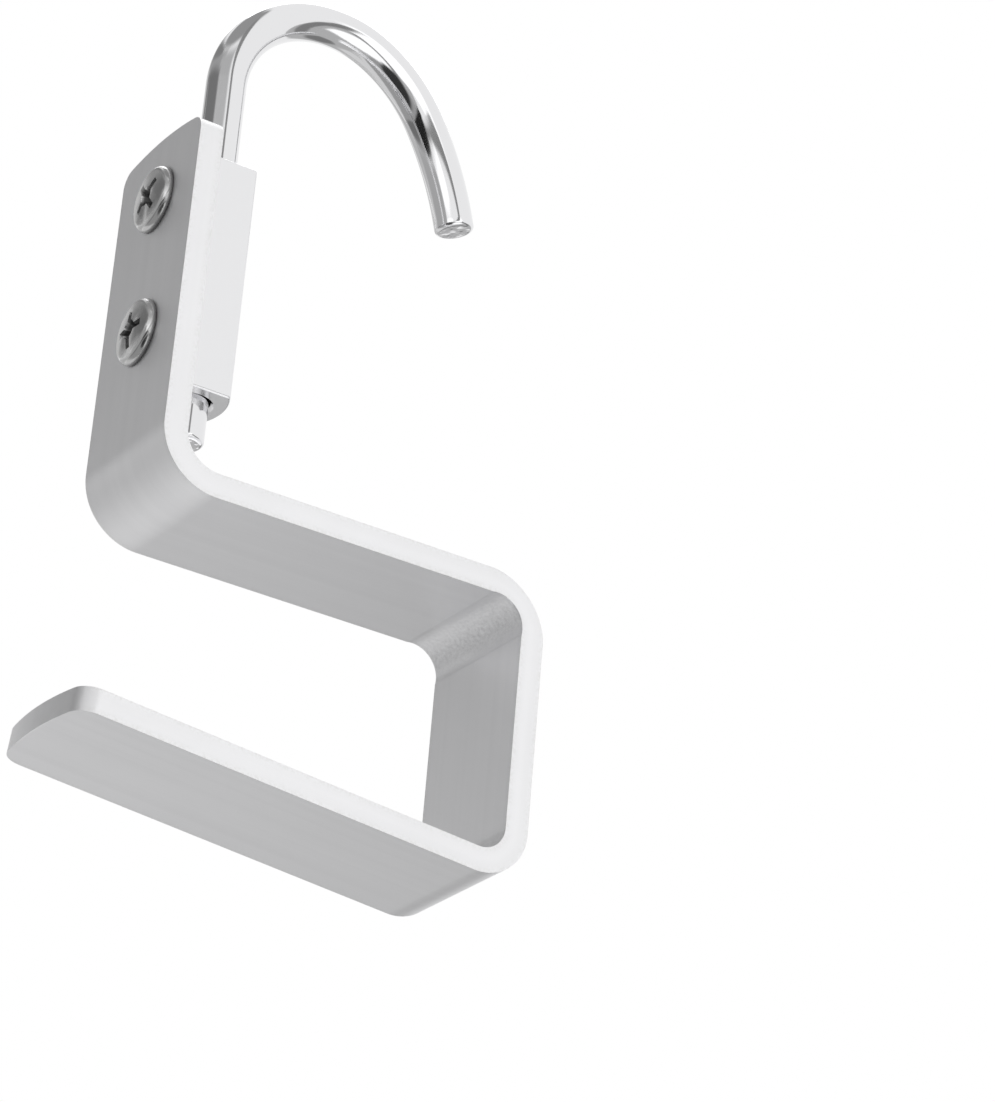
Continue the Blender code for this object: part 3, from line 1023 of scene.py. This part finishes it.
def make_card_material(name, brightness, softness):
    """Plain glow that fades out over the card's outer degrees, whose number is its softness."""
    material = bpy.data.materials.new(name)
    material.use_nodes = True
    tree = material.node_tree
    shader = tree.nodes["Principled BSDF"]
    shader.inputs["Base Color"].default_value = (0, 0, 0, 1)
    shader.inputs["Specular IOR Level"].default_value = 0
    shader.inputs["Emission Color"].default_value = (1, 1, 1, 1)
    shader.inputs["Emission Strength"].default_value = brightness
    fade = smooth_step(tree, own_value(tree, "inset", "Fac"), 0.0, softness)
    tree.links.new(fade, shader.inputs["Alpha"])
    return material


def make_card(name, brightness, distance, softness, corners):
    """Evenly lit card that the camera doesn't see.

    Its corners are azimuths with a low and a high elevation, in degrees from the object's centre.
    """
    columns = []
    for before, after in zip(corners, corners[1:]):
        steps = math.ceil((after[0] - before[0]) / card_step)
        columns += [Vector(before).lerp(Vector(after), step / steps) for step in range(steps)]
    columns.append(Vector(corners[-1]))
    bm = bmesh.new()
    layer = bm.verts.layers.float.new("inset")
    rows = []
    for azimuth, low, high in columns:
        narrowing = math.cos(math.radians((low + high) / 2))
        side_inset = min(azimuth - columns[0][0], columns[-1][0] - azimuth) * narrowing
        row = []
        for step in range(card_rows + 1):
            elevation = low + (high - low) * step / card_rows
            spot = bm.verts.new(object_centre + direction(azimuth, elevation) * distance)
            spot[layer] = min(side_inset, elevation - low, high - elevation)
            row.append(spot)
        rows.append(row)
    for left, right in zip(rows, rows[1:]):
        for step in range(card_rows):
            bm.faces.new((left[step], right[step], right[step + 1], left[step + 1]))
    card = new_piece(name, bm, make_card_material(name, brightness, softness))
    card.visible_camera = False


def make_lamp(name, azimuth, elevation, distance, size, brightness):
    """Square soft box whose face shines with the given brightness, where 1 is white."""
    lamp = bpy.data.lights.new(name, "AREA")
    lamp.shape = "SQUARE"
    lamp.size = size
    lamp.energy = brightness * math.pi * size ** 2
    holder = bpy.data.objects.new(name, lamp)
    away = direction(azimuth, elevation)
    holder.location = object_centre + away * distance
    holder.rotation_euler = away.to_track_quat("Z", "Y").to_euler()
    bpy.context.scene.collection.objects.link(holder)


def make_white_surroundings(strength):
    """White where the camera, metal or glass sees it, and softer as a light."""
    world = bpy.data.worlds.new("white_room")
    world.use_nodes = True
    bpy.context.scene.world = world
    tree = world.node_tree
    path = add_node(tree, "ShaderNodeLightPath")
    seen = maths(tree, "MAXIMUM", path.outputs["Is Camera Ray"], path.outputs["Is Glossy Ray"])
    seen = maths(tree, "MAXIMUM", seen, path.outputs["Is Transmission Ray"])
    sky = tree.nodes["Background"]
    sky.inputs["Color"].default_value = (1, 1, 1, 1)
    tree.links.new(spread_over(tree, seen, strength, 1.0), sky.inputs["Strength"])


def hang_wall_cards():
    """Greys that stand in for the walls and windows round the object."""
    make_card("high_wall", 0.34, far_cards, 7, [
        (-176, 78, 89), (-150, 60, 89), (-130, 53, 89), (-110, 50, 89), (-60, 50, 89),
        (-30, 50, 89), (-4, 46, 80)])
    make_card("wall_middle", 0.38, far_cards, 10, [
        (-190, 16, 46), (-170, 16, 54), (-140, 14, 58), (-100, 14, 58), (-56, 18, 56)])
    make_card("wall_light", 0.50, middle_cards, 9, [(-90, 20, 52), (-50, 20, 54), (-12, 24, 50)])
    make_card("wall_shelf", 0.25, near_cards, 4, [
        (-180, 36, 41), (-165, 38, 49), (-150, 40, 53), (-135, 42, 55), (-118, 44, 56),
        (-95, 48, 54)])
    make_card("shank_shade", 0.20, near_cards, 10, [
        (-168, 14, 34), (-140, 12, 42), (-110, 12, 44), (-70, 16, 42)])
    make_card("shank_glow", 0.90, middle_cards, 6, [(-92, 14, 34), (-40, 12, 34), (-8, 22, 33)])
    make_card("left_band", 0.44, middle_cards, 5, [(-140, -8, 18), (-110, -12, 18), (-66, -8, 14)])
    make_card("left_band_back", 0.57, middle_cards, 5, [
        (-200, -8, 16), (-170, -8, 16), (-132, -8, 16)])
    make_card("window_line", 0.70, close_cards, 1.5, [(-148, 4, 33), (-142, 4, 33)])
    make_card("back_shade", 0.66, near_cards, 5, [(158, 16, 38), (180, 16, 38), (200, 16, 38)])
    make_card("corner_line_top", 0.28, near_cards, 3, [
        (-26, 58, 76), (-16, 44, 70), (-8, 35, 58), (-3, 18, 49), (1, 15, 42), (4, 19, 34),
        (6, 24, 28)])
    make_card("corner_line_low", 0.26, near_cards, 2.5, [
        (-50, -10, -4), (-40, -7, -1), (-30, -2, 5), (-20, 3, 11), (-10, 8, 18),
        (-3, 12, 25), (4, 18, 27)])


def hang_floor_cards():
    """Greys and darks that stand in for the floor and the things on it."""
    make_card("left_floor", 0.37, far_cards, 6, [
        (-150, -80, -2), (-120, -80, -4), (-90, -78, -6), (-50, -76, -10), (-26, -70, -20)])
    make_card("left_floor_back", 0.74, far_cards, 8, [
        (-200, -80, -6), (-170, -80, -6), (-138, -80, -4)])
    make_card("back_glow", 0.75, near_cards, 8, [
        (-208, -40, -26), (-196, -58, -22), (-180, -62, -22), (-164, -56, -24), (-150, -46, -28)])
    make_card("dark_band", 0.02, near_cards, 3, [
        (-98, -19, -11), (-84, -21, -7), (-66, -21, -5), (-50, -18, -5), (-34, -14, -6)])
    make_card("dark_band_left", 0.18, near_cards, 3, [
        (-138, -14, -6), (-118, -20, -9), (-96, -21, -12)])
    make_card("dark_corner", 0.04, near_cards, 7, [
        (-84, -46, -24), (-60, -64, -22), (-40, -60, -20), (-22, -48, -24), (-16, -38, -26)])
    make_card("front_line", 0.30, near_cards, 3, [
        (-34, -32, -22), (-16, -29, -20), (6, -27, -18), (20, -21, -10)])
    make_card("table_edge", 0.24, near_cards, 4, [
        (16, -6, 16), (22, -15, 8), (30, -20, -2), (45, -26, -8), (60, -30, -12),
        (75, -33, -15), (90, -34, -18), (104, -32, -22)])
    make_card("right_floor", 0.51, far_cards, 7, [
        (40, -78, -34), (60, -78, -28), (90, -78, -16), (120, -78, -4), (180, -78, -4),
        (196, -70, -10)])
    make_card("floor_mat", 0.22, near_cards, 8, [
        (104, -46, -26), (128, -56, -16), (142, -52, -14), (152, -40, -18)])


def hang_bright_cards():
    """Cards brighter than the white room, for the highlights."""
    make_card("front_glow", 1.35, middle_cards, 5, [
        (-20, -20, 4), (-8, -24, 20), (4, -24, 25), (16, -18, 24), (26, -8, 16)])
    make_card("low_glow", 1.30, middle_cards, 6, [
        (-30, -60, -30), (-10, -74, -24), (14, -76, -22), (34, -74, -26), (52, -60, -34)])
    make_card("window_glow", 1.35, close_cards, 4, [(-68, -3, 8), (-50, -4, 13), (-32, -1, 13)])


make_camera()
make_floor()
hang_wall_cards()
hang_floor_cards()
hang_bright_cards()
make_lamp("top_soft_box", azimuth=150, elevation=60, distance=1.5, size=1.0, brightness=1.5)
make_white_surroundings(room_light)

bpy.context.scene.view_settings.view_transform = "Standard"
